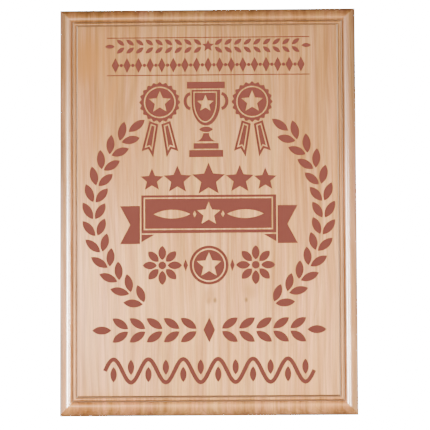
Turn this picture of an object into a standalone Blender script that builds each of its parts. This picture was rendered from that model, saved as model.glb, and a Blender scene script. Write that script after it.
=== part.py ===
"""Wall plaque: four edge-glued staves with a moulded edge, a steel sawtooth hanger and four bumpers.

Metres, +Z up. The front faces -Y and the wall is the plane Y = 0. The origin is on the wall, level with
the middle notch of the hanger. Left and right are as seen from the front.
"""
from math import cos, pi, radians, sin

import bmesh
import bpy
from mathutils import Matrix, Vector

MM = 0.001

# Board
BOARD_WIDTH = 203.2 * MM
BOARD_HEIGHT = 279.4 * MM
BOARD_THICKNESS = 19.05 * MM
STAVE_SHARES = (54.6, 42.6, 52.8, 53.2)
STAVE_NAMES = ("stave_left", "stave_mid_left", "stave_mid_right", "stave_right")

# Moulded edge, from the board's side in to the flat field
CROWN_IN = 6.1 * MM
CROWN_DEPTH = 3.0 * MM
BEAD_DROP = 7.5 * MM
BEAD_SEGMENTS = 10
ROLL_RADIUS = 3.6 * MM
ROLL_TURN = radians(52)
ROLL_SEGMENTS = 4
QUIRK_IN = 9.1 * MM
QUIRK_WIDTH = 0.55 * MM
QUIRK_DEPTH = 4.8 * MM
LEDGE_IN = 9.8 * MM
LEDGE_WIDTH = 1.9 * MM
LEDGE_DEPTH = 1.8 * MM
LEDGE_RISE = 0.7 * MM
LEDGE_SEGMENTS = 4
GROOVE_IN = 11.9 * MM
GROOVE_WIDTH = 0.45 * MM
GROOVE_DEPTH = 2.6 * MM
FIELD_IN = 12.6 * MM
FIELD_ARRIS = 0.5 * MM
BACK_ARRIS = 0.6 * MM

# Sawtooth hanger, level in the middle of the back near the top
HANGER_LENGTH = 44.5 * MM
HANGER_HEIGHT = 11.0 * MM
HANGER_CORNER = 3.0 * MM
SHEET = 0.8 * MM
STANDOFF = 1.3 * MM
RAISED_LENGTH = 26.0 * MM
RAMP_LENGTH = 2.0 * MM
NOTCH_COUNT = 9
NOTCH_PITCH = 2.4 * MM
NOTCH_DEPTH = 1.6 * MM
SEAT_BELOW_TOP = 30.0 * MM

# Wire nails through the hanger's ends
NAIL_SPACING = 37.0 * MM
NAIL_Z = 4.0 * MM
NAIL_RADIUS = 0.65 * MM
NAIL_LENGTH = 12.0 * MM
NAIL_POINT = 2.0 * MM
NAIL_TIP_RADIUS = 0.15 * MM
NAIL_HEAD_RADIUS = 1.6 * MM
NAIL_HEAD = 0.6 * MM

# Wall bumpers
BUMPER_RADIUS = 4.75 * MM
BUMPER_HEIGHT = 3.0 * MM
BUMPER_ROUND = 0.6 * MM
BUMPER_INSET = 15.0 * MM

GAP = 0.3 * MM
ROUND_STEPS = 32

BACK_Y = -(BUMPER_HEIGHT + GAP)
FRONT_Y = BACK_Y - BOARD_THICKNESS
TOP_Z = SEAT_BELOW_TOP
CENTRE_Z = TOP_Z - BOARD_HEIGHT / 2
FLANGE_Y = BACK_Y + GAP
NAIL_SEAT_Y = FLANGE_Y + SHEET + GAP


def clear_scene():
    for item in list(bpy.data.objects):
        bpy.data.objects.remove(item, do_unlink=True)


def new_collection(name):
    collection = bpy.data.collections.new(name)
    bpy.context.scene.collection.children.link(collection)
    return collection


def material(name, colour, roughness, metallic=0.0):
    made = bpy.data.materials.new(name)
    made.use_nodes = True
    shader = made.node_tree.nodes["Principled BSDF"]
    shader.inputs["Base Color"].default_value = (*colour, 1.0)
    shader.inputs["Roughness"].default_value = roughness
    shader.inputs["Metallic"].default_value = metallic
    return made


def object_from(bm, name, collection, surface=None):
    """Turn a bmesh into a linked object."""
    bmesh.ops.recalc_face_normals(bm, faces=bm.faces[:])
    mesh = bpy.data.meshes.new(name)
    bm.to_mesh(mesh)
    bm.free()
    made = bpy.data.objects.new(name, mesh)
    if surface:
        mesh.materials.append(surface)
    collection.objects.link(made)
    return made


def smooth(made, angle=35):
    made.data.shade_smooth()
    made.data.set_sharp_from_angle(angle=radians(angle))


def cutter_from(bm, name):
    made = object_from(bm, name, cutters)
    made.hide_render = True
    made.display_type = "WIRE"
    return made


def cut(target, cutter):
    boolean = target.modifiers.new(cutter.name, "BOOLEAN")
    boolean.operation = "DIFFERENCE"
    boolean.object = cutter


def block(low, high):
    """A box from its low corner to its high corner."""
    bm = bmesh.new()
    low, high = Vector(low), Vector(high)
    size = high - low
    place = Matrix.Translation((low + high) / 2) @ Matrix.Diagonal((*size, 1.0))
    bmesh.ops.create_cube(bm, size=1.0, matrix=place)
    return bm


def cone(radius_back, radius_front, back_y, front_y, z, x=0.0):
    """A round bar or cone along Y, from back_y forward to front_y."""
    bm = bmesh.new()
    place = Matrix.Translation((x, (back_y + front_y) / 2, z)) @ Matrix.Rotation(pi / 2, 4, "X")
    bmesh.ops.create_cone(bm, cap_ends=True, segments=ROUND_STEPS, radius1=radius_back,
                          radius2=radius_front, depth=back_y - front_y, matrix=place)
    return bm


# ---------------------------------------------------------------- board

def edge_profile():
    """The board's section from the back face round to the field, as (distance in, depth) points."""
    points = [(BACK_ARRIS, BOARD_THICKNESS), (0.0, BOARD_THICKNESS - BACK_ARRIS)]
    for step in range(BEAD_SEGMENTS + 1):
        turn = step / BEAD_SEGMENTS * pi / 2
        points.append((CROWN_IN * (1 - cos(turn)), CROWN_DEPTH + BEAD_DROP * (1 - sin(turn))))
    for step in range(1, ROLL_SEGMENTS + 1):
        turn = step / ROLL_SEGMENTS * ROLL_TURN
        points.append((CROWN_IN + ROLL_RADIUS * sin(turn), CROWN_DEPTH + ROLL_RADIUS * (1 - cos(turn))))
    points += [(QUIRK_IN, QUIRK_DEPTH), (QUIRK_IN + QUIRK_WIDTH, QUIRK_DEPTH)]
    for step in range(LEDGE_SEGMENTS + 1):
        turn = step / LEDGE_SEGMENTS * pi
        points.append((LEDGE_IN + LEDGE_WIDTH / 2 * (1 - cos(turn)), LEDGE_DEPTH + LEDGE_RISE * (1 - sin(turn))))
    points += [(GROOVE_IN, GROOVE_DEPTH), (GROOVE_IN + GROOVE_WIDTH, GROOVE_DEPTH)]
    points += [(FIELD_IN, FIELD_ARRIS), (FIELD_IN + FIELD_ARRIS, 0.0)]
    return points


def moulded_board():
    """One board: a slab's front face is scaled and extruded, ring by ring, along the edge profile."""
    section = edge_profile()
    (inset, depth), rest = section[0], section[1:]
    half_x, half_z = BOARD_WIDTH / 2 - inset, BOARD_HEIGHT / 2 - inset
    bm = block((-half_x, FRONT_Y + rest[0][1], CENTRE_Z - half_z),
               (half_x, FRONT_Y + depth, CENTRE_Z + half_z))
    front = min(bm.faces, key=lambda face: face.calc_center_median().y)
    about_centre = Matrix.Translation((0, 0, -CENTRE_Z))
    for number, (inset, depth) in enumerate(rest):
        if number:
            front = bmesh.ops.extrude_discrete_faces(bm, faces=[front])["faces"][0]
        next_x, next_z = BOARD_WIDTH / 2 - inset, BOARD_HEIGHT / 2 - inset
        shrink = (next_x / half_x, 1, next_z / half_z)
        bmesh.ops.scale(bm, vec=shrink, space=about_centre, verts=front.verts[:])
        forward = FRONT_Y + depth - front.verts[0].co.y
        bmesh.ops.translate(bm, vec=(0, forward, 0), verts=front.verts[:])
        half_x, half_z = next_x, next_z
    return bm


def saw(bm, x, keep):
    """Cut the board square at x, keep one side (+1 for the right) and close the sawn face."""
    found = bmesh.ops.bisect_plane(bm, geom=bm.verts[:] + bm.edges[:] + bm.faces[:], dist=1e-7,
                                   plane_co=(x, 0, 0), plane_no=(-keep, 0, 0), clear_outer=True)
    rim = [item for item in found["geom_cut"] if isinstance(item, bmesh.types.BMEdge)]
    bmesh.ops.contextual_create(bm, geom=rim)


def staves():
    wood = {}
    shades = ((0.62, 0.41, 0.26), (0.66, 0.45, 0.29), (0.68, 0.47, 0.31), (0.65, 0.43, 0.28))
    scale = BOARD_WIDTH / sum(STAVE_SHARES)
    left = -BOARD_WIDTH / 2
    for name, share, shade in zip(STAVE_NAMES, STAVE_SHARES, shades):
        right = left + share * scale
        bm = moulded_board()
        if name != STAVE_NAMES[0]:
            saw(bm, left + GAP / 2, keep=1)
        if name != STAVE_NAMES[-1]:
            saw(bm, right - GAP / 2, keep=-1)
        wood[name] = object_from(bm, name, plaque, material(name + "_alder", shade, 0.35))
        smooth(wood[name], 25)
        left = right
    return wood


# ---------------------------------------------------------------- hanger

def hanger_outline():
    """The flat blank: pointed notches along its lower edge and round corners above."""
    low, high = -NOTCH_DEPTH, HANGER_HEIGHT - NOTCH_DEPTH
    half = HANGER_LENGTH / 2
    points = [(-half, low)]
    start = -NOTCH_COUNT * NOTCH_PITCH / 2
    for number in range(NOTCH_COUNT):
        points.append((start + number * NOTCH_PITCH, low))
        points.append((start + (number + 0.5) * NOTCH_PITCH, 0.0))
    points.append((-start, low))
    points.append((half, low))
    for centre_x, first_turn in ((half - HANGER_CORNER, 0), (HANGER_CORNER - half, pi / 2)):
        for step in range(7):
            turn = first_turn + step / 6 * pi / 2
            points.append((centre_x + HANGER_CORNER * cos(turn), high - HANGER_CORNER * (1 - sin(turn))))
    return points


def flat_sheet(points, back_y, front_y):
    """A flat outline as a mesh, between two planes across Y."""
    curve = bpy.data.curves.new("outline", "CURVE")
    curve.dimensions = "2D"
    curve.fill_mode = "BOTH"
    curve.extrude = (back_y - front_y) / 2
    spline = curve.splines.new("POLY")
    spline.points.add(len(points) - 1)
    for point, (x, z) in zip(spline.points, points):
        point.co = (x, z, 0, 1)
    spline.use_cyclic_u = True
    shape = bpy.data.objects.new("outline", curve)
    bpy.context.scene.collection.objects.link(shape)
    bpy.context.view_layer.update()
    mesh = bpy.data.meshes.new_from_object(shape.evaluated_get(bpy.context.evaluated_depsgraph_get()))
    bm = bmesh.new()
    bm.from_mesh(mesh)
    bmesh.ops.remove_doubles(bm, verts=bm.verts[:], dist=1e-6)
    bm.transform(Matrix.Translation((0, (back_y + front_y) / 2, 0)) @ Matrix.Rotation(pi / 2, 4, "X"))
    bpy.data.objects.remove(shape, do_unlink=True)
    return bm


def hanger(steel):
    """The blank with its toothed middle pressed out from the board, nailed at both ends."""
    bm = flat_sheet(hanger_outline(), FLANGE_Y + SHEET, FLANGE_Y)
    raised = RAISED_LENGTH / 2
    for x in (-raised - RAMP_LENGTH, -raised, raised, raised + RAMP_LENGTH):
        bmesh.ops.bisect_plane(bm, geom=bm.verts[:] + bm.edges[:] + bm.faces[:], dist=1e-7,
                               plane_co=(x, 0, 0), plane_no=(1, 0, 0))
    middle = [vert for vert in bm.verts if abs(vert.co.x) < raised + RAMP_LENGTH / 2]
    bmesh.ops.translate(bm, vec=(0, STANDOFF, 0), verts=middle)
    made = object_from(bm, "sawtooth_hanger", plaque, steel)
    past = 1.0 * MM
    for side, x in nail_places():
        radius = NAIL_RADIUS + GAP
        hole = cone(radius, radius, FLANGE_Y + SHEET + past, FLANGE_Y - past, NAIL_Z, x)
        cut(made, cutter_from(hole, "hanger_hole_" + side))
    smooth(made)
    return made


def nail_places():
    return (("left", -NAIL_SPACING / 2), ("right", NAIL_SPACING / 2))


def hanger_nail(side, x, steel):
    """A turned nail: its head stands on the hanger and its point is in the board."""
    outline = [(0, NAIL_HEAD), (NAIL_HEAD_RADIUS * 0.8, NAIL_HEAD), (NAIL_HEAD_RADIUS, NAIL_HEAD * 0.6),
               (NAIL_HEAD_RADIUS, 0), (NAIL_RADIUS, 0), (NAIL_RADIUS, NAIL_POINT - NAIL_LENGTH),
               (NAIL_TIP_RADIUS, -NAIL_LENGTH), (0, -NAIL_LENGTH)]
    bm = bmesh.new()
    verts = [bm.verts.new((radius, 0, height)) for radius, height in outline]
    for first, second in zip(verts, verts[1:]):
        bm.edges.new((first, second))
    bmesh.ops.spin(bm, geom=bm.verts[:] + bm.edges[:], angle=2 * pi, steps=20, axis=(0, 0, 1),
                   cent=(0, 0, 0), use_merge=True)
    bmesh.ops.remove_doubles(bm, verts=bm.verts[:], dist=1e-6)
    bm.transform(Matrix.Translation((x, NAIL_SEAT_Y, NAIL_Z)) @ Matrix.Rotation(-pi / 2, 4, "X"))
    made = object_from(bm, "hanger_nail_" + side, plaque, steel)
    smooth(made)
    return made


def drill_for_nails(board_piece, side, x):
    past = 1.0 * MM
    end_y = NAIL_SEAT_Y - NAIL_LENGTH - GAP
    pilot = cone(NAIL_RADIUS + GAP, NAIL_RADIUS + GAP, BACK_Y + past, end_y, NAIL_Z, x)
    cut(board_piece, cutter_from(pilot, "nail_hole_" + side))


# ---------------------------------------------------------------- bumpers

def bumper(name, x, z, rubber):
    """A round pad whose flat face touches the wall, with its rim rounded."""
    bm = cone(BUMPER_RADIUS, BUMPER_RADIUS, 0, -BUMPER_HEIGHT, z, x)
    rim = [e for e in bm.edges if all(abs(v.co.y) < 1e-6 for v in e.verts)]
    bmesh.ops.bevel(bm, geom=rim, offset=BUMPER_ROUND, segments=3, profile=0.5, affect="EDGES")
    made = object_from(bm, name, plaque, rubber)
    smooth(made)
    return made


def bumpers(rubber):
    out_x = BOARD_WIDTH / 2 - BUMPER_INSET
    for row, z in (("top", TOP_Z - BUMPER_INSET), ("bottom", TOP_Z - BOARD_HEIGHT + BUMPER_INSET)):
        for side, x in (("left", -out_x), ("right", out_x)):
            bumper("bumper_" + row + "_" + side, x, z, rubber)


clear_scene()
plaque = new_collection("wall_plaque")
cutters = new_collection("cutters")
wood_pieces = staves()
zinc_steel = material("zinc_plated_steel", (0.62, 0.61, 0.58), 0.35, metallic=1.0)
dark_rubber = material("bumper_rubber", (0.05, 0.05, 0.05), 0.6)
hanger(zinc_steel)
for nail_side, nail_x in nail_places():
    hanger_nail(nail_side, nail_x, zinc_steel)
    drill_for_nails(wood_pieces["stave_mid_" + nail_side], nail_side, nail_x)
bumpers(dark_rubber)
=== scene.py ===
from math import atan2, cos, pi, radians, sin, tan

import bpy
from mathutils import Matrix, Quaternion, Vector


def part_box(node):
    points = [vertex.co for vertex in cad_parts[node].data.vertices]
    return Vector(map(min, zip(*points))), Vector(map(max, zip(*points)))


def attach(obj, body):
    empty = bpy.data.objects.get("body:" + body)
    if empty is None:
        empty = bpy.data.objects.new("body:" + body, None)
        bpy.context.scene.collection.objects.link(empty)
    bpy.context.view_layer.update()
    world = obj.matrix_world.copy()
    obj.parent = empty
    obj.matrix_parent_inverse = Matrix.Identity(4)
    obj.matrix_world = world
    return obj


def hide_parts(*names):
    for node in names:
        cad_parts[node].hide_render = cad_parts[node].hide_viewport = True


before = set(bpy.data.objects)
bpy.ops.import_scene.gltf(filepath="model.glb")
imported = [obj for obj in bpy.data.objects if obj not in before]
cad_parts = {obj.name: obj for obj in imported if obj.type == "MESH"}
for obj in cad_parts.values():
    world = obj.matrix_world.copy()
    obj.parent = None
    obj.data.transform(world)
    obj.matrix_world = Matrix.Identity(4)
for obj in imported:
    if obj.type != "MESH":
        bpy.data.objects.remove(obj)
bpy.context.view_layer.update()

MM = 0.001
STAVES = ("stave_left", "stave_mid_left", "stave_mid_right", "stave_right")

# The board's outside, from the four staves of the frame
BOARD_LOW = Vector([min(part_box(name)[0][axis] for name in STAVES) for axis in range(3)])
BOARD_HIGH = Vector([max(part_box(name)[1][axis] for name in STAVES) for axis in range(3)])
CENTRE = (BOARD_LOW + BOARD_HIGH) / 2
HALF = (BOARD_HIGH - BOARD_LOW) / 2
FRONT_Y = BOARD_LOW.y
BACK_Y = BOARD_HIGH.y
THICKNESS = BACK_Y - FRONT_Y

# The moulded edge, in millimetres: distances in from the board's side, depths below the field.
# From the side inwards it has a bead that falls to the side from its crown and rolls in to a narrow
# quirk, a small rounded ledge, a groove, and the flat field.
BACK_ARRIS = 0.6
CROWN_IN, BEAD_TOP, BEAD_DROP = 6.1, 3.0, 7.5
ROLL, ROLL_TURN = 3.6, 52
QUIRK_IN, QUIRK_WIDTH, QUIRK_DEPTH = 9.1, 0.55, 4.8
LEDGE_IN, LEDGE_WIDTH, LEDGE_DEPTH, LEDGE_RISE = 9.8, 1.9, 1.8, 0.7
GROOVE_IN, GROOVE_WIDTH, GROOVE_DEPTH = 11.9, 0.45, 2.6
FIELD_IN, FIELD_ARRIS = 12.6, 0.5
MOULDING_WIDTH = FIELD_IN + FIELD_ARRIS

# The engraving: its depth, and how far right of the board's middle it sits, in millimetres
ENGRAVED_DEPTH = 0.4 * MM
ART_SHIFT = 0.7
LEAF_WIDTH = 5.6

# The hanger's nail holes: the gap all round the nail, and the hole's radius
NAIL_GAP = 0.3 * MM
NAIL_HOLE_RADIUS = 0.95 * MM


# ------------------------------------------------------------------ materials

# A half depth in millimetres that no board reaches, for spots that go right through
ENDLESS = 1e6


def linear(hex_colour):
    """An sRGB hex colour as linear red, green, blue and alpha."""
    channels = [int(hex_colour[start:start + 2], 16) / 255 for start in (1, 3, 5)]
    return [c / 12.92 if c <= 0.04045 else ((c + 0.055) / 1.055) ** 2.4 for c in channels] + [1.0]


def node(tree, kind, inputs=None, **settings):
    """Add a shader node; inputs holds socket values or the output sockets to link."""
    made = tree.nodes.new("ShaderNode" + kind)
    for name, value in settings.items():
        setattr(made, name, value)
    for name, value in (inputs or {}).items():
        if isinstance(value, bpy.types.NodeSocket):
            tree.links.new(value, made.inputs[name])
        else:
            made.inputs[name].default_value = value
    return made


def new_material(name):
    made = bpy.data.materials.new(name)
    made.use_nodes = True
    return made, made.node_tree, made.node_tree.nodes["Principled BSDF"]


def edge_masks(tree, place):
    """Where the moulding is: a socket that is 1 on its long sides, one that is 1 on its two ends, and one
    with the distance in from the nearer long side. The first two meet in the mitres and are 0 elsewhere.
    """
    from_centre = node(tree, "VectorMath", {0: place, 1: -CENTRE}, operation="ADD").outputs[0]
    from_centre = node(tree, "VectorMath", {0: from_centre}, operation="ABSOLUTE").outputs[0]
    inward = node(tree, "VectorMath", {0: HALF, 1: from_centre}, operation="SUBTRACT").outputs[0]
    inward = node(tree, "SeparateXYZ", {"Vector": inward}).outputs
    depth = node(tree, "SeparateXYZ", {"Vector": place}).outputs["Y"]
    before_back = node(tree, "Math", {0: depth, 1: BACK_Y - BACK_ARRIS * MM},
                       operation="LESS_THAN").outputs[0]
    masks = []
    for near, far in ((inward["X"], inward["Z"]), (inward["Z"], inward["X"])):
        within = node(tree, "Math", {0: near, 1: MOULDING_WIDTH * MM}, operation="LESS_THAN").outputs[0]
        nearer = node(tree, "Math", {0: near, 1: far}, operation="LESS_THAN").outputs[0]
        within = node(tree, "Math", {0: within, 1: before_back}, operation="MULTIPLY").outputs[0]
        masks.append(node(tree, "Math", {0: within, 1: nearer}, operation="MULTIPLY").outputs[0])
    return masks[0], masks[1], inward["X"]


def lacquered_alder(name, tint, pith, lean, spots=()):
    """Alder: a close, even, pinkish-tan wood, sanded and sprayed with a clear satin lacquer.

    The eye gets faint growth-ring lines that lean with the log, fine upright fibre streaks, soft pink and
    honey patches, and a thin gloss on the mouldings. Everything is solid in the board, so the end grain
    and the beads show the same rings as the face.
    """
    made, tree, shader = new_material(name)
    place = node(tree, "TexCoord").outputs["Object"]
    in_mm = node(tree, "Mapping", {"Vector": place, "Scale": (1 / MM, 1 / MM, 1 / MM)}).outputs["Vector"]

    # The log bends by up to 14 mm along its length, which draws out arches in the rings
    sway = node(tree, "Mapping", {"Vector": in_mm, "Scale": (1 / 60, 1 / 60, 1 / 190)}).outputs["Vector"]
    sway = node(tree, "TexNoise", {"Vector": sway, "Scale": 1.0, "Detail": 2.0}).outputs["Color"]
    sway = node(tree, "VectorMath", {0: sway, 1: (-0.5, -0.5, -0.5)}, operation="ADD").outputs[0]
    sway = node(tree, "VectorMath", {0: sway, "Scale": 14.0}, operation="SCALE").outputs[0]
    bent = node(tree, "VectorMath", {0: in_mm, 1: sway}, operation="ADD").outputs[0]

    # Distance from the pith, whose line leans by `lean` in the plane of the board
    log = node(tree, "Mapping", {"Vector": bent, "Location": (-pith[0], -pith[1], 0),
                                 "Rotation": (0, lean, 0)}).outputs["Vector"]
    log = node(tree, "VectorMath", {0: log, 1: (1, 1, 0)}, operation="MULTIPLY").outputs[0]
    radius = node(tree, "VectorMath", {0: log}, operation="LENGTH").outputs["Value"]

    # Rings about 3.6 mm apart: each darkens slowly and ends in a sharper line
    years = node(tree, "Math", {0: radius, 1: 1 / 3.6}, operation="MULTIPLY").outputs[0]
    uneven = node(tree, "TexNoise", {"Vector": years, "Scale": 0.55, "Detail": 3.0},
                  noise_dimensions="3D").outputs["Fac"]
    years = node(tree, "Math", {0: uneven, 1: 2.2, 2: years}, operation="MULTIPLY_ADD").outputs[0]
    season = node(tree, "Math", {0: years}, operation="FRACT").outputs[0]
    late = node(tree, "ValToRGB", {"Fac": season})
    late.color_ramp.elements[0].position = 0.0
    late.color_ramp.elements[0].color = (0, 0, 0, 1)
    late.color_ramp.elements[1].position = 0.86
    late.color_ramp.elements[1].color = (1, 1, 1, 1)
    end = late.color_ramp.elements.new(1.0)
    end.color = (0.1, 0.1, 0.1, 1)
    late = late.outputs["Color"]

    # Fibres: streaks 45 mm long, drawn 0.9 mm wide because real ones are too fine to show
    fibres = node(tree, "Mapping", {"Vector": bent, "Scale": (1 / 0.9, 1 / 3, 1 / 45)}).outputs["Vector"]
    fibres = node(tree, "TexNoise", {"Vector": fibres, "Scale": 1.0, "Detail": 4.0,
                                     "Roughness": 0.6}).outputs["Fac"]
    # Bands 5 mm wide and 110 mm long, honey against pink, and browner patches 14 mm wide
    bands = node(tree, "Mapping", {"Vector": bent, "Scale": (1 / 5.0, 1 / 12, 1 / 110)}).outputs["Vector"]
    bands = node(tree, "TexNoise", {"Vector": bands, "Scale": 1.0, "Detail": 3.0}).outputs["Fac"]
    patches = node(tree, "Mapping", {"Vector": in_mm, "Scale": (1 / 14, 1 / 14, 1 / 70)}).outputs["Vector"]
    patches = node(tree, "TexNoise", {"Vector": patches, "Scale": 1.0, "Detail": 2.0}).outputs["Fac"]

    # Pores: dark dashes 3 mm long, drawn 0.35 mm wide because real ones, at 0.05 mm, would not show
    pores = node(tree, "Mapping", {"Vector": in_mm,
                                   "Scale": (1 / 0.35, 1 / 0.35, 1 / 3.0)}).outputs["Vector"]
    pores = node(tree, "TexNoise", {"Vector": pores, "Scale": 1.0, "Detail": 1.0}).outputs["Fac"]
    pores = node(tree, "MapRange", {"Value": pores, "From Min": 0.62, "From Max": 0.74}).outputs[0]

    honey, pink = linear(tint["honey"]), linear(tint["pink"])
    dark, brown = linear(tint["dark"]), linear("#8A5A38")
    amount = node(tree, "MapRange", {"Value": bands, "From Min": 0.30, "From Max": 0.70}).outputs[0]
    colour = node(tree, "Mix", {"Factor": amount, 6: honey, 7: pink}, data_type="RGBA").outputs[2]
    amount = node(tree, "MapRange", {"Value": patches, "From Min": 0.40, "From Max": 0.68,
                                     "To Max": 0.55}).outputs[0]
    colour = node(tree, "Mix", {"Factor": amount, 6: colour, 7: dark}, data_type="RGBA").outputs[2]
    amount = node(tree, "Math", {0: late, 1: tint["rings"]}, operation="MULTIPLY").outputs[0]
    colour = node(tree, "Mix", {"Factor": amount, 6: colour, 7: dark}, data_type="RGBA").outputs[2]
    amount = node(tree, "MapRange", {"Value": fibres, "From Min": 0.42, "From Max": 0.7,
                                     "To Max": 0.6}).outputs[0]
    colour = node(tree, "Mix", {"Factor": amount, 6: colour, 7: dark}, data_type="RGBA").outputs[2]
    amount = node(tree, "Math", {0: pores, 1: 0.25}, operation="MULTIPLY").outputs[0]
    colour = node(tree, "Mix", {"Factor": amount, 6: colour, 7: brown}, data_type="RGBA").outputs[2]

    # Darker streaks 3.6 mm wide and 95 mm long, which give the face most of its figure
    streaks = node(tree, "Mapping", {"Vector": bent, "Scale": (1 / 3.6, 1 / 12, 1 / 95)}).outputs["Vector"]
    streaks = node(tree, "TexNoise", {"Vector": streaks, "Scale": 1.0, "Detail": 4.0,
                                      "Roughness": 0.6}).outputs["Fac"]
    amount = node(tree, "MapRange", {"Value": streaks, "From Min": 0.38, "From Max": 0.70}).outputs[0]
    colour = node(tree, "Mix", {"Factor": amount, 6: colour, 7: linear("#B8B1A8")}, data_type="RGBA",
                  blend_type="MULTIPLY").outputs[2]

    # Knots and stains: each is an oval with its centre, half width and height, lean, strength and
    # colour, and goes right through the board
    for (x, z), (half_width, half_height), turn, strength, tone in spots:
        there = node(tree, "Mapping", {"Vector": in_mm, "Location": (x, 0, z + CENTRE.z / MM),
                                       "Rotation": (0, radians(turn), 0),
                                       "Scale": (half_width, ENDLESS, half_height)},
                     vector_type="TEXTURE").outputs["Vector"]
        away = node(tree, "VectorMath", {0: there}, operation="LENGTH").outputs["Value"]
        amount = node(tree, "MapRange", {"Value": away, "From Min": 1.0, "From Max": 0.2,
                                         "To Max": strength}, interpolation_type="SMOOTHSTEP").outputs[0]
        colour = node(tree, "Mix", {"Factor": amount, 6: colour, 7: linear(tone)},
                      data_type="RGBA").outputs[2]

    # End grain drinks more lacquer, so the moulding is browner across the top and bottom
    sides, ends, from_side = edge_masks(tree, place)
    colour = node(tree, "Mix", {"Factor": ends, 6: colour, 7: linear("#F0E6DA")}, data_type="RGBA",
                  blend_type="MULTIPLY").outputs[2]

    # Painted shade: the wood is darker towards the head of the plaque and paler at its foot, as if lit from
    # low down
    height = node(tree, "SeparateXYZ", {"Vector": place}).outputs["Z"]
    painted_shade_at_head = node(tree, "MapRange", {"Value": height, "From Min": CENTRE.z - 80 * MM,
                                   "From Max": CENTRE.z + 140 * MM},
                interpolation_type="SMOOTHSTEP").outputs[0]
    colour = node(tree, "Mix", {"Factor": painted_shade_at_head, 6: colour, 7: linear("#B1B2B6")}, data_type="RGBA",
                  blend_type="MULTIPLY").outputs[2]

    tree.links.new(colour, shader.inputs["Base Color"])
    shader.inputs["Roughness"].default_value = 0.6
    shader.inputs["IOR"].default_value = 1.5
    shader.inputs["Specular IOR Level"].default_value = 0.5
    shader.inputs["Specular Tint"].default_value = linear("#F0A860")

    # The flat field is rubbed down to a dull satin; the bead, out of the pad's reach, stays glossy
    bead = node(tree, "Math", {0: from_side, 1: QUIRK_IN * MM}, operation="LESS_THAN").outputs[0]
    bead = node(tree, "Math", {0: bead, 1: sides}, operation="MULTIPLY").outputs[0]
    gloss = node(tree, "MapRange", {"Value": bead, "To Min": 0.06, "To Max": 1.0}).outputs[0]
    tree.links.new(gloss, shader.inputs["Coat Weight"])
    shader.inputs["Coat Roughness"].default_value = 0.25
    shader.inputs["Coat IOR"].default_value = 1.5
    relief = node(tree, "Bump", {"Height": fibres, "Strength": 0.12, "Distance": 0.05 * MM})
    tree.links.new(relief.outputs["Normal"], shader.inputs["Normal"])
    return made


def engraving_enamel():
    """Red-brown enamel brushed into the engraving: flat and even, with a faint upright grain 0.6 mm wide
    from the wood under it.
    """
    made, tree, shader = new_material("engraving_enamel")
    place = node(tree, "TexCoord").outputs["Object"]
    streaks = node(tree, "Mapping", {"Vector": place, "Scale": (1600, 1600, 160)}).outputs["Vector"]
    streaks = node(tree, "TexNoise", {"Vector": streaks, "Scale": 1.0, "Detail": 3.0}).outputs["Fac"]
    colour = node(tree, "Mix", {"Factor": streaks, 6: linear("#764137"), 7: linear("#713E35")},
                  data_type="RGBA").outputs[2]
    tree.links.new(colour, shader.inputs["Base Color"])
    shader.inputs["Roughness"].default_value = 0.9
    shader.inputs["Specular IOR Level"].default_value = 0.0
    relief = node(tree, "Bump", {"Height": streaks, "Strength": 0.2, "Distance": 0.1 * MM})
    tree.links.new(relief.outputs["Normal"], shader.inputs["Normal"])
    return made


def painted_groove_shade_alder():
    """The quirk and the groove of the moulding: darker than the wood around them, a painted shade for these
    narrow hollows, uneven every 17 mm or so, and dull, with no gloss coat.
    """
    made, tree, shader = new_material("painted_groove_shade_alder")
    place = node(tree, "TexCoord").outputs["Object"]
    uneven = node(tree, "TexNoise", {"Vector": place, "Scale": 60.0, "Detail": 3.0}).outputs["Fac"]
    colour = node(tree, "Mix", {"Factor": uneven, 6: linear("#BA9673"), 7: linear("#CCA884")},
                  data_type="RGBA").outputs[2]
    # Painted shade: darker still across the top and bottom ends than along the long sides
    ends = edge_masks(tree, place)[1]
    colour = node(tree, "Mix", {"Factor": ends, 6: colour, 7: linear("#BFB09E")}, data_type="RGBA",
                  blend_type="MULTIPLY").outputs[2]
    tree.links.new(colour, shader.inputs["Base Color"])
    shader.inputs["Roughness"].default_value = 0.8
    shader.inputs["Specular IOR Level"].default_value = 0.12
    return made


def zinc_plate():
    """Bright zinc on pressed steel: grey-white metal, cloudy every 3 mm where the plating is uneven."""
    made, tree, shader = new_material("bright_zinc_plate")
    place = node(tree, "TexCoord").outputs["Object"]
    cloud = node(tree, "TexNoise", {"Vector": place, "Scale": 350.0, "Detail": 4.0}).outputs["Fac"]
    colour = node(tree, "Mix", {"Factor": cloud, 6: linear("#C9C8C2"), 7: linear("#A3A39F")},
                  data_type="RGBA").outputs[2]
    tree.links.new(colour, shader.inputs["Base Color"])
    rough = node(tree, "MapRange", {"Value": cloud, "To Min": 0.22, "To Max": 0.45}).outputs[0]
    tree.links.new(rough, shader.inputs["Roughness"])
    shader.inputs["Metallic"].default_value = 1.0
    return made


def bumper_rubber():
    """Moulded black polyurethane: dull, with the 0.4 mm grain of its mould."""
    made, tree, shader = new_material("black_polyurethane")
    place = node(tree, "TexCoord").outputs["Object"]
    grain = node(tree, "TexNoise", {"Vector": place, "Scale": 2500.0, "Detail": 2.0}).outputs["Fac"]
    colour = node(tree, "Mix", {"Factor": grain, 6: linear("#1C1B1A"), 7: linear("#2E2C2A")},
                  data_type="RGBA").outputs[2]
    tree.links.new(colour, shader.inputs["Base Color"])
    shader.inputs["Roughness"].default_value = 0.62
    relief = node(tree, "Bump", {"Height": grain, "Strength": 0.3, "Distance": 0.05 * MM})
    tree.links.new(relief.outputs["Normal"], shader.inputs["Normal"])
    return made


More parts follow.
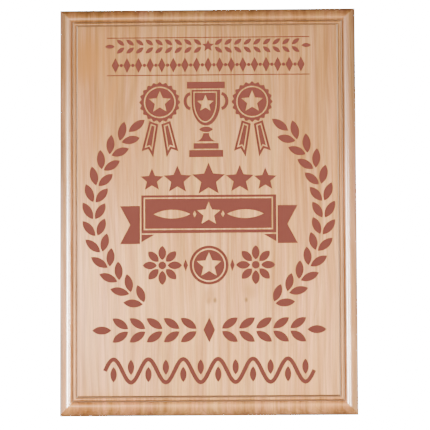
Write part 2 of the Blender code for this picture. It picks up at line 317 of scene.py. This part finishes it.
def painted_floor():
    """Matt white studio floor, very slightly uneven in tone."""
    made, tree, shader = new_material("white_studio_floor")
    place = node(tree, "TexCoord").outputs["Object"]
    tone = node(tree, "TexNoise", {"Vector": place, "Scale": 0.8, "Detail": 2.0}).outputs["Fac"]
    colour = node(tree, "Mix", {"Factor": tone, 6: linear("#F4F3F1"), 7: linear("#ECEBE8")},
                  data_type="RGBA").outputs[2]
    tree.links.new(colour, shader.inputs["Base Color"])
    shader.inputs["Roughness"].default_value = 0.9
    return made


# ------------------------------------------------------------------ modelling helpers

def deselect():
    if bpy.context.object and bpy.context.object.mode != "OBJECT":
        bpy.ops.object.mode_set(mode="OBJECT")
    bpy.ops.object.select_all(action="DESELECT")


def take(piece):
    deselect()
    piece.select_set(True)
    bpy.context.view_layer.objects.active = piece


def settle(piece):
    """Bring the piece's place into its mesh."""
    take(piece)
    bpy.ops.object.transform_apply(location=True, rotation=True, scale=True)
    return piece


def apply_modifiers(piece):
    take(piece)
    for modifier in list(piece.modifiers):
        bpy.ops.object.modifier_apply(modifier=modifier.name)


def edit_select(piece, kind, chosen):
    """Enter edit mode with only the faces, edges or vertices picked by `chosen` selected."""
    take(piece)
    bpy.ops.object.mode_set(mode="EDIT")
    bpy.ops.mesh.select_mode(type=kind)
    bpy.ops.mesh.select_all(action="DESELECT")
    bpy.ops.object.mode_set(mode="OBJECT")
    items = {"VERT": piece.data.vertices, "EDGE": piece.data.edges, "FACE": piece.data.polygons}[kind]
    for item in items:
        item.select = chosen(item)
    bpy.ops.object.mode_set(mode="EDIT")


def tidy_shell(piece, join=0.001 * MM):
    """Merge doubled points, drop loose edges and turn all faces outwards."""
    take(piece)
    bpy.ops.object.mode_set(mode="EDIT")
    bpy.ops.mesh.select_all(action="SELECT")
    bpy.ops.mesh.remove_doubles(threshold=join)
    bpy.ops.mesh.delete_loose(use_verts=True, use_edges=True, use_faces=False)
    bpy.ops.mesh.select_all(action="SELECT")
    bpy.ops.mesh.normals_make_consistent(inside=False)
    bpy.ops.object.mode_set(mode="OBJECT")


def carve(piece, tool, operation="DIFFERENCE"):
    """Cut the piece with a closed tool, which is then thrown away."""
    boolean = piece.modifiers.new("carve", "BOOLEAN")
    boolean.operation = operation
    boolean.solver = "EXACT"
    boolean.material_mode = "TRANSFER"
    boolean.object = tool
    apply_modifiers(piece)
    bpy.data.objects.remove(tool, do_unlink=True)


def flat_shape(name, loops, back_y, front_y):
    """Closed outlines in millimetres on the board's plane, made a solid; one inside another is a hole."""
    curve = bpy.data.curves.new(name, "CURVE")
    curve.dimensions = "2D"
    curve.fill_mode = "BOTH"
    curve.extrude = (back_y - front_y) / 2
    for loop in loops:
        spline = curve.splines.new("POLY")
        spline.points.add(len(loop) - 1)
        for point, (x, z) in zip(spline.points, loop):
            point.co = (x * MM, z * MM, 0, 1)
        spline.use_cyclic_u = True
    piece = bpy.data.objects.new(name, curve)
    bpy.context.scene.collection.objects.link(piece)
    take(piece)
    bpy.ops.object.convert(target="MESH")
    piece = bpy.context.object
    piece.rotation_euler = (pi / 2, 0, 0)
    piece.location = (CENTRE.x, (back_y + front_y) / 2, CENTRE.z)
    settle(piece)
    tidy_shell(piece)
    return piece


# ------------------------------------------------------------------ ornament, in millimetres

def arc(centre, radii, first, last, steps):
    """Points along part of an oval, between two angles in degrees."""
    points = []
    for step in range(steps + 1):
        turn = radians(first + (last - first) * step / steps)
        points.append((centre[0] + radii[0] * cos(turn), centre[1] + radii[1] * sin(turn)))
    return points


def disc(centre, radius, steps=48):
    return arc(centre, (radius, radius), 0, 360 - 360 / steps, steps - 1)


def rectangle(low_x, low_z, high_x, high_z):
    return [(low_x, low_z), (high_x, low_z), (high_x, high_z), (low_x, high_z)]


def lozenge(centre, width, height):
    x, z = centre
    return [(x + width / 2, z), (x, z + height / 2), (x - width / 2, z), (x, z - height / 2)]


def star(centre, radius, waist=0.45):
    corners = []
    for number in range(10):
        reach = radius * (waist if number % 2 else 1)
        turn = radians(90 + 36 * number)
        corners.append((centre[0] + reach * cos(turn), centre[1] + reach * sin(turn)))
    return corners


def leaf(base, turn, length, width, steps=10):
    """A pointed oval that grows from its base; turn is in degrees, anticlockwise from the right."""
    half, rise = length / 2, width / 2
    radius = (half ** 2 + rise ** 2) / (2 * rise)
    spread = atan2(half, radius - rise)
    along = Vector((cos(radians(turn)), sin(radians(turn))))
    across = Vector((-along.y, along.x))
    outline = []
    for side in (1, -1):
        for step in range(steps):
            angle = spread - 2 * spread * step / steps
            u, v = half + side * radius * sin(angle), side * (radius * cos(angle) - radius + rise)
            outline.append(tuple(Vector(base) + along * u + across * v))
    return outline


def offset(path, distance, closed=True):
    """The path moved sideways, to its left where the distance is positive."""
    path = [Vector(point) for point in path]
    moved_path = []
    for number, point in enumerate(path):
        first, last = number == 0 and not closed, number == len(path) - 1 and not closed
        after = path[(number + 1) % len(path)] - point
        before = after if first else point - path[number - 1]
        a = before.normalized()
        b = a if last else after.normalized()
        normal = Vector((-a.y - b.y, a.x + b.x)).normalized()
        moved_path.append(tuple(point + normal * (distance / normal.dot(Vector((-a.y, a.x))))))
    return moved_path


def stroke(path, width):
    return offset(path, width / 2, closed=False) + offset(path, -width / 2, closed=False)[::-1]


def inlined(outline, rim=1.7, line=0.8, slip=0.5):
    """An anticlockwise shape with a bare line inside its rim, slipped up and left as if it cast a shadow."""
    line_loops = moved([offset(outline, rim), offset(outline, rim + line)], -slip, slip)
    return [outline] + line_loops


def moved(loops, x, z):
    return [[(px + x, pz + z) for px, pz in loop] for loop in loops]


def mirrored(loops):
    return [[(-x, z) for x, z in reversed(loop)] for loop in loops]


def both_sides(loops):
    return loops + mirrored(loops)


def laurel_spray():
    """The left half of the wreath: twelve pairs of leaves along an arc and a single leaf at its tip."""
    centre, radius = Vector((-4.2, -1.7)), 74.1
    first, step, pairs = -57.0, 8.93, 12
    loops = []
    for number in range(pairs + 1):
        # The pairs' places are angles above the level through the centre; leaves lean out (+) or in (-)
        level = first + step * (number if number < pairs else pairs - 0.27)
        outward = Vector((-cos(radians(level)), sin(radians(level))))
        leaves = ((0.9, 27.5, 13.5), (-0.7, -35.5, 12.8)) if number < pairs else ((0.8, -5.5, 13.8),)
        for gap, lean, length in leaves:
            base = centre + outward * (radius + gap)
            loops.append(leaf(base, 90 - level + lean, length, LEAF_WIDTH))
    return loops


def sprig_band(pairs, pitch, length, width, splay, gap, first):
    """A laurel branch that lies level, growing both ways from the middle."""
    loops = []
    for number in range(pairs):
        x = first + number * pitch
        loops.append(leaf((x, gap), splay, length, width))
        loops.append(leaf((x, -gap), -splay, length, width))
    loops.append(leaf((first + pairs * pitch, 0), 0, length, width))
    return both_sides(loops)


def bead_band(width, height, count):
    """Upright lozenges with a bead between each two."""
    pitch = width / count
    loops = []
    for number in range(count):
        x = -width / 2 + (number + 0.5) * pitch
        loops.append(lozenge((x, 0), pitch * 0.66, height))
        if number:
            loops.append(disc((x - pitch / 2, 0), pitch * 0.15, 16))
    return loops


def award_cup():
    """A two-handled cup, 30 wide and 52 high, standing on zero."""
    bowl = arc((0, 38.0), (9.8, 16.4), -180, 0, 28) + [(9.8, 46.4), (-9.8, 46.4)]
    stem = arc((9.0, 16.6), (7.0, 6.2), -110, -180, 8)
    stem_outline = stem + [(-x, z) for x, z in reversed(stem)]
    handle = arc((10.2, 38.6), (4.1, 5.2), 84, -84, 14)
    loops = [rectangle(-11.6, 0, 11.6, 4.9), rectangle(-8.6, 5.7, 8.6, 9.6), stem_outline,
             leaf((-4.8, 19.1), 0, 9.6, 4.0), rectangle(-13.0, 47.3, 13.0, 52.0)]
    loops += inlined(bowl) + [star((-0.4, 36.9), 6.0)]
    return loops + both_sides([stroke(handle, 2.2)])


def award_rosette():
    """A pleated rosette with two ribbon tails, 29 wide and 52 high, standing on zero."""
    middle = (0, 38.0)
    pleats = []
    for number in range(120):
        turn = radians(3 * number)
        reach = 13.4 + 0.7 * cos(20 * turn)
        pleats.append((middle[0] + reach * cos(turn), middle[1] + reach * sin(turn)))
    tail = [(-1.0, 22.8), (-7.2, 25.2), (-12.6, 4.2), (-7.9, 5.8), (-4.6, 0.0)]
    loops = [pleats, disc(middle, 10.9), disc(middle, 10.0), star(middle, 7.8)]
    return loops + inlined(tail, 1.5, 0.8, 0.0) + inlined(mirrored([tail])[0], 1.5, 0.8, 0.0)


def banner():
    """A ribbon banner with folded swallow tails, 121 wide and 33 high."""
    half, low, high = 46.0, -9.4, 16.7
    drop = 7.3
    fold = [(half - 9.0, low - 0.9), (half, low - 0.9), (half, low - 0.9 - 5.2)]
    tail = [(half + 0.9, low - drop), (60.6, low - drop), (53.6, (low + high) / 2 - drop),
            (60.6, high - drop), (half + 0.9, high - drop)]
    middle = (low + high) / 2
    loops = both_sides([fold, tail]) + inlined(rectangle(-half, low, half, high), 1.9, 0.9, 0.3)
    loops += both_sides([leaf((12.5, middle), 0, 25.0, 6.0), lozenge((9.6, middle), 2.4, 4.6)])
    return loops + [star((0, middle), 8.3)]


def flower(petals, radius):
    loops = [disc((0, 0), radius * 0.2, 24)]
    for number in range(petals):
        turn = 90 + 360 * number / petals
        base = (radius * 0.27 * cos(radians(turn)), radius * 0.27 * sin(radians(turn)))
        loops.append(leaf(base, turn, radius * 0.73, radius * 0.40))
    return loops


def medallion(radius):
    return [disc((0, 0), radius), disc((0, 0), radius * 0.86), disc((0, 0), radius * 0.79),
            star((0, 0), radius * 0.66)]


def vine_band(width, height, waves, line):
    """A waving stem with a leaf in every bay."""
    steps = 24 * waves
    rise = height / 2 - line / 2
    path = []
    for step in range(steps + 1):
        along = step / steps
        path.append((width * (along - 0.5), rise * sin(2 * pi * waves * along)))
    loops = [stroke(path, line)]
    for bay in range(2 * waves):
        up = 1 if bay % 2 else -1
        x = width * ((bay + 0.5) / (2 * waves) - 0.5)
        loops.append(leaf((x, -up * rise * 0.35), 90 * up, 10.5, 4.4))
    return loops


def all_ornament():
    loops = both_sides(laurel_spray())
    for z in (118.7, 92.7):
        loops.append(rectangle(-69.5, z - 0.35, 69.5, z + 0.35))
    loops += moved(sprig_band(9, 6.6, 6.6, 2.9, 38, 0.7, 4.6) + [star((0, 0), 4.4)], 0, 112.8)
    loops += moved(bead_band(135.0, 10.4, 17), 0, 99.7)
    loops += moved(award_cup(), -1.6, 36.0)
    loops += moved(award_rosette(), -33.2, 36.0)
    loops += moved(award_rosette(), 30.0, 36.0)
    for x, radius in ((0, 11.8), (21.3, 10.0), (-21.3, 10.0), (38.7, 8.2), (-38.7, 8.2)):
        loops.append(star((x, 20.4), radius))
    loops += moved(banner(), 0, -6.7)
    loops += moved(medallion(13.3), 0, -38.1)
    for x in (-31.8, 31.8):
        loops += moved(flower(8, 13.4), x, -38.1)
        loops.append(lozenge((x / 2, -38.1), 3.2, 8.5))
    loops += moved(sprig_band(5, 11.6, 13.0, LEAF_WIDTH, 34, 0.9, 8.6), 0, -82.3)
    loops.append(lozenge((0, -82.3), 8.0, 17.0))
    loops += moved(vine_band(142.0, 18.6, 6, 2.8), 0, -109.9)
    return moved(loops, ART_SHIFT, 0)


# ------------------------------------------------------------------ board

def rounded(middle, radii, first, last, steps):
    """Points along a rounded edge; zero degrees is towards the outside, ninety is the front."""
    points = []
    for step in range(steps + 1):
        turn = radians(first + (last - first) * step / steps)
        points.append((middle[0] - radii[0] * cos(turn), middle[1] - radii[1] * sin(turn)))
    return points


def edge_section():
    """The moulding as (distance in, depth) in millimetres, from the back face round to the field."""
    deep = THICKNESS / MM
    points = rounded((BACK_ARRIS, deep - BACK_ARRIS), (BACK_ARRIS, BACK_ARRIS), -90, 0, 5)
    points += rounded((CROWN_IN, BEAD_TOP + BEAD_DROP), (CROWN_IN, BEAD_DROP), 0, 90, 28)
    points += rounded((CROWN_IN, BEAD_TOP + ROLL), (ROLL, ROLL), 90, 90 + ROLL_TURN, 12)[1:]
    points += [(QUIRK_IN, QUIRK_DEPTH), (QUIRK_IN + QUIRK_WIDTH, QUIRK_DEPTH)]
    ledge = (LEDGE_IN + LEDGE_WIDTH / 2, LEDGE_DEPTH + LEDGE_RISE)
    points += rounded(ledge, (LEDGE_WIDTH / 2, LEDGE_RISE), 0, 180, 12)
    points += [(GROOVE_IN, GROOVE_DEPTH), (GROOVE_IN + GROOVE_WIDTH, GROOVE_DEPTH)]
    points += rounded((MOULDING_WIDTH, FIELD_ARRIS), (FIELD_ARRIS, FIELD_ARRIS), 0, 90, 6)
    return points


def moulded_board():
    """A slab whose front face is extruded and scaled along the moulding's section."""
    section = edge_section()
    inset, depth = section[0]
    size_x, size_z = HALF.x - inset * MM, HALF.z - inset * MM
    back, front = FRONT_Y + depth * MM, FRONT_Y + section[1][1] * MM
    deselect()
    bpy.ops.mesh.primitive_cube_add(size=2, location=(CENTRE.x, (back + front) / 2, CENTRE.z),
                                    scale=(size_x, (back - front) / 2, size_z))
    board = settle(bpy.context.object)
    board.name = "board"
    edit_select(board, "FACE", lambda face: face.normal.y < -0.9)
    y = front
    for number, (inset, depth) in enumerate(section[1:]):
        if number:
            bpy.ops.mesh.extrude_region()
        next_x, next_z = HALF.x - inset * MM, HALF.z - inset * MM
        next_y = FRONT_Y + depth * MM
        bpy.ops.transform.resize(value=(next_x / size_x, 1, next_z / size_z),
                                 center_override=(CENTRE.x, y, CENTRE.z))
        bpy.ops.transform.translate(value=(0, next_y - y, 0))
        size_x, size_z, y = next_x, next_z, next_y
    bpy.ops.object.mode_set(mode="OBJECT")
    tidy_shell(board)
    return board


def nail_hole(name, wood):
    """A cutter for the hole that a hanger nail makes in the board."""
    low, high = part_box(name)
    depth = BACK_Y - low.y + NAIL_GAP
    bpy.ops.mesh.primitive_cylinder_add(vertices=24, radius=NAIL_HOLE_RADIUS, depth=2 * depth,
                                        location=((low.x + high.x) / 2, BACK_Y, (low.z + high.z) / 2),
                                        rotation=(pi / 2, 0, 0))
    hole = settle(bpy.context.object)
    hole.data.materials.append(wood)
    return hole


def is_mitre(board, edge):
    """Whether an edge runs along one of the four corner mitres of the moulding."""
    for number in edge.vertices:
        place = board.data.vertices[number].co - CENTRE
        from_side, from_end = HALF.x - abs(place.x), HALF.z - abs(place.z)
        if abs(from_side - from_end) > 0.01 * MM:
            return False
        if from_side > (MOULDING_WIDTH + 0.1) * MM:
            return False
    return True


def smooth(piece, angle):
    """Shade smoothly, but keep edges over the angle and the mitres crisp."""
    edit_select(piece, "EDGE", lambda edge: is_mitre(piece, edge))
    bpy.ops.mesh.mark_sharp()
    bpy.ops.object.mode_set(mode="OBJECT")
    bpy.ops.object.shade_smooth_by_angle(angle=radians(angle), keep_sharp_edges=True)


def paint_groove_shade(board):
    """Give the faces of the quirk and the groove their own finish, the board's second, whose darker colour
    is painted shade.
    """
    for face in board.data.polygons:
        inward = min(BOARD_HIGH.x - abs(face.center.x), BOARD_HIGH.z - face.center.z,
                     face.center.z - BOARD_LOW.z) / MM
        if QUIRK_IN - 0.2 < inward < LEDGE_IN - 0.05 or GROOVE_IN - 0.2 < inward < FIELD_IN + 0.2:
            face.material_index = 1


def saw_staves(board, finishes):
    """Saw the finished board along its glue lines into four staves."""
    edges = [BOARD_LOW.x]
    for left, right in zip(STAVES, STAVES[1:]):
        edges.append((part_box(left)[1].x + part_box(right)[0].x) / 2)
    edges.append(BOARD_HIGH.x)
    for name, left, right, wood in zip(STAVES, edges, edges[1:], finishes):
        take(board)
        bpy.ops.object.duplicate()
        stave = bpy.context.object
        stave.name = "alder_" + name
        for x, keep in ((left, 1), (right, -1)):
            if BOARD_LOW.x < x < BOARD_HIGH.x:
                take(stave)
                bpy.ops.object.mode_set(mode="EDIT")
                bpy.ops.mesh.select_all(action="SELECT")
                bpy.ops.mesh.bisect(plane_co=(x, 0, 0), plane_no=(keep, 0, 0), use_fill=True,
                                    clear_inner=True, threshold=1e-7)
                bpy.ops.object.mode_set(mode="OBJECT")
        # A saw line that grazes an engraved corner leaves a sliver some micrometres wide
        tidy_shell(stave, join=0.005 * MM)
        stave.data.materials[0] = wood
        smooth(stave, 28)
        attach(stave, "root")
        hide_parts(name)
    bpy.data.objects.remove(board, do_unlink=True)


# The four staves' colours, from left to right, and how strongly their rings show
TINTS = [
    {"honey": "#F0B471", "pink": "#FCAD84", "dark": "#C2803F", "rings": 0.55},
    {"honey": "#EFB874", "pink": "#FDB38A", "dark": "#CA8B4A", "rings": 0.45},
    {"honey": "#F0BA77", "pink": "#FDB38C", "dark": "#CC8D4D", "rings": 0.45},
    {"honey": "#F0B673", "pink": "#FCAF86", "dark": "#C88647", "rings": 0.5},
]

# Pin knots and stains, in millimetres from the board's centre and degrees
KNOT, STAIN, ORANGE = "#5A4322", "#9A6A3C", "#C07A34"
MIDDLE_KNOTS = [((4.6, -62.1), (1.7, 2.8), 0, 1.0, KNOT), ((25.9, -61.9), (1.7, 2.6), 0, 1.0, KNOT),
                ((0.4, -62.4), (2.2, 3.4), 10, 0.8, STAIN), ((1.2, -79), (2.4, 13), 0, 0.8, STAIN),
                ((1.2, -59), (5.5, 9), 0, 0.6, STAIN), ((28, -56), (6, 8), -30, 0.5, STAIN)]
LEFT_FLECKS = [((-84, 103), (22, 26), 30, 0.75, ORANGE), ((-65, 78), (4.0, 32), 15, 0.6, ORANGE),
               ((-53, 74), (3.4, 26), 13, 0.6, STAIN), ((-74, 60), (5, 28), 12, 0.35, ORANGE)]

# Until the board is sawn, its first finish stands for each stave's own
board = moulded_board()
unsawn_alder = bpy.data.materials.new("unsawn_alder")
board.data.materials.append(unsawn_alder)
# The second finish darkens the quirk and the groove with painted shade
board.data.materials.append(painted_groove_shade_alder())
for name in ("hanger_nail_left", "hanger_nail_right"):
    carve(board, nail_hole(name, unsawn_alder))
paint_groove_shade(board)

ornament = flat_shape("ornament", all_ornament(), FRONT_Y + ENGRAVED_DEPTH, FRONT_Y - 1.0 * MM)
ornament.data.materials.append(engraving_enamel())
carve(board, ornament)
woods = [
    lacquered_alder("alder_flat_sawn_left", TINTS[0], (-30, 45), radians(4), LEFT_FLECKS),
    lacquered_alder("alder_rift_sawn_left", TINTS[1], (60, 70), radians(1), MIDDLE_KNOTS),
    lacquered_alder("alder_rift_sawn_right", TINTS[2], (-70, 60), radians(-1), MIDDLE_KNOTS),
    lacquered_alder("alder_flat_sawn_right", TINTS[3], (70, 50), radians(-5)),
]
saw_staves(board, woods)
bpy.data.materials.remove(unsawn_alder)

# ------------------------------------------------------------------ hardware

zinc = zinc_plate()
rubber = bumper_rubber()
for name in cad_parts:
    if "hanger" in name or "bumper" in name:
        cad = bpy.data.objects[name]
        cad.data.materials.clear()
        cad.data.materials.append(zinc if "hanger" in name else rubber)

# ------------------------------------------------------------------ studio

# How far the studio floor lies below the board, in metres, and half the camera sensor's width, in
# millimetres
FLOOR_DROP = 1.3
HALF_SENSOR = 18


def softbox(name, azimuth, distance, low, high, width, radiance, diffuse=True, glossy=True):
    """An upright flat light that faces the board; heights are above the board's centre, in metres."""
    turn = radians(azimuth)
    middle = (low + high) / 2
    place = CENTRE + Vector((distance * sin(turn), -distance * cos(turn), middle))
    lamp = bpy.data.lights.new(name, "AREA")
    lamp.shape = "RECTANGLE"
    lamp.size, lamp.size_y = width, high - low
    lamp.energy = radiance * pi * width * (high - low)
    made = bpy.data.objects.new(name, lamp)
    bpy.context.scene.collection.objects.link(made)
    made.location = place
    made.rotation_euler = (pi / 2, 0, turn)
    made.visible_camera = False
    made.visible_diffuse = diffuse
    made.visible_glossy = glossy


def studio():
    """A pale floor, a white backdrop, two broad softboxes and two strips that draw the beads' highlights."""
    deselect()
    bpy.ops.mesh.primitive_plane_add(size=16, location=(CENTRE.x, CENTRE.y, BOARD_LOW.z - FLOOR_DROP))
    floor = settle(bpy.context.object)
    floor.name = "studio_floor"
    floor.data.materials.append(painted_floor())

    world = bpy.data.worlds.new("white_studio")
    bpy.context.scene.world = world
    world.use_nodes = True
    tree = world.node_tree
    fill = tree.nodes["Background"]
    fill.inputs["Color"].default_value = linear("#FFFFFF")
    fill.inputs["Strength"].default_value = 0.2
    seen = node(tree, "Background", {"Color": linear("#FFFFFF"), "Strength": 20.0})
    ray = node(tree, "LightPath").outputs["Is Camera Ray"]
    mixed = node(tree, "MixShader", {0: ray, 1: fill.outputs[0], 2: seen.outputs[0]})
    tree.links.new(mixed.outputs[0], tree.nodes["World Output"].inputs["Surface"])

    softbox("softbox_left", -48, 1.0, -0.35, 0.17, 0.5, 18.5, glossy=False)
    softbox("softbox_right", 45, 1.0, -0.35, 0.17, 0.5, 18.0, glossy=False)
    softbox("strip_left", -19, 0.68, -0.16, 0.07, 0.2, 290, diffuse=False)
    softbox("strip_right", 20, 0.68, -0.16, 0.05, 0.2, 140, diffuse=False)
    softbox("top_light", 0, 0.4, 0.3, 0.6, 0.4, 3.0, glossy=False)
    softbox("back_light", 180, 2.0, -0.8, 0.8, 1.6, 4.0, glossy=False)
    softbox("side_card_left", -100, 0.7, -0.6, 0.1, 0.8, 3, diffuse=False)
    softbox("side_card_right", 100, 0.7, -0.6, 0.1, 0.8, 1, diffuse=False)


def camera():
    """Nearly straight on, from a little below and to the right, through a long lens."""
    azimuth, elevation, distance, roll = radians(1.46), radians(-6.32), 2.229, radians(-0.27)
    half_angle = radians(7.554) / 2
    back = Vector((sin(azimuth) * cos(elevation), -cos(azimuth) * cos(elevation), sin(elevation)))
    target = CENTRE + Vector((0.0047, 0, -0.0028))
    lens = bpy.data.cameras.new("camera")
    lens.sensor_width = 2 * HALF_SENSOR
    lens.lens = HALF_SENSOR / tan(half_angle)
    lens.dof.use_dof = False
    made = bpy.data.objects.new("camera", lens)
    bpy.context.scene.collection.objects.link(made)
    made.location = target + back * distance
    made.rotation_mode = "QUATERNION"
    made.rotation_quaternion = (-back).to_track_quat("-Z", "Y") @ Quaternion((0, 0, 1), roll)
    bpy.context.scene.camera = made


studio()
camera()
